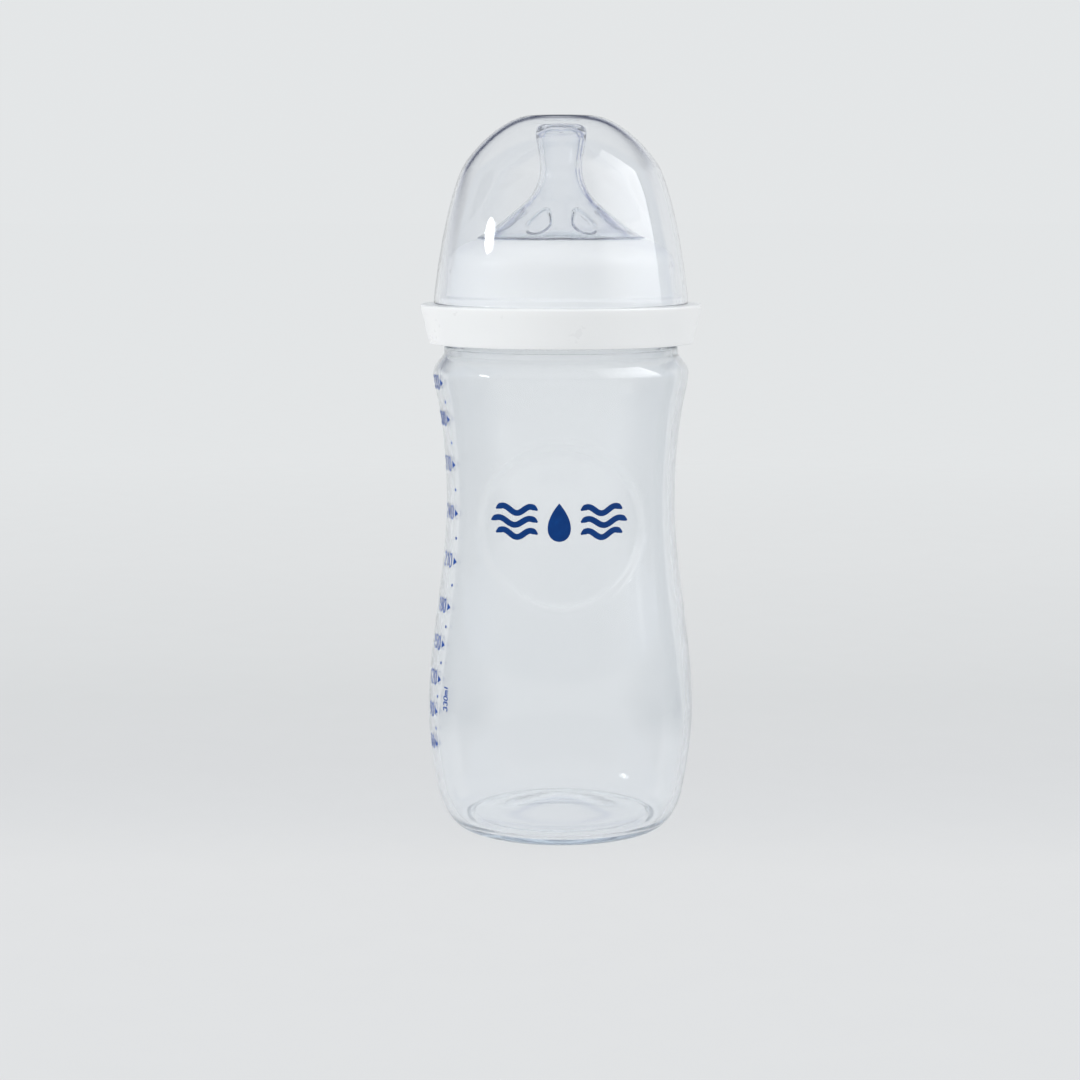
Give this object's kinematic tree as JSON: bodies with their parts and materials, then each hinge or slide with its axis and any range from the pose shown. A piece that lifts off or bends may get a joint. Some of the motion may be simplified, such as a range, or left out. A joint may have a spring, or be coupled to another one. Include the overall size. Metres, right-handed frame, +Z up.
{
  "type": "baby bottle",
  "caption": "Wide-neck feeding bottle with a waisted translucent body, a white screw ring, a clear soft teat and a clear dome travel cap.",
  "frame": {"origin": "centre of the ring that the bottle stands on, at the table", "axes": "+Z up along the bottle's axis to the cap; -Y towards the viewer, facing the front grip dish; the printed scale is on the -X side"},
  "size_m": [0.0726, 0.0726, 0.1841],
  "materials": {
    "body_clear": "translucent blow-moulded polypropylene, faintly blue, smooth with slight flow waves",
    "ring_white": "white injection-moulded polypropylene, satin",
    "teat_silicone": "clear liquid silicone, matt bloom",
    "cap_clear": "clear polished polypropylene",
    "print_blue": "blue screen-printed ink"
  },
  "bodies": {
    "bottle": {"bottle_body": "body_clear"},
    "teat": {"teat": "teat_silicone"},
    "ring": {"screw_ring": "ring_white"},
    "cap": {"dome_cap": "cap_clear"}
  },
  "joints": [
    {"name": "teat_rise", "type": "slide", "parent": "bottle", "child": "teat", "axis": [0, 0, 1], "range_m": [0, 0.024]},
    {"name": "ring_unscrew", "type": "hinge", "parent": "teat", "child": "ring", "pos_m": [0, 0, 0.136], "axis": [0, 0, 1], "range_deg": [0, 1440]},
    {"name": "dome_lift", "type": "slide", "parent": "ring", "child": "cap", "axis": [0, 0, 1], "range_m": [0, 0.06]}
  ],
  "couplings": [
    {"joint": "teat_rise", "follows": "ring_unscrew", "m_per_rad": 0.00095493}
  ]
}
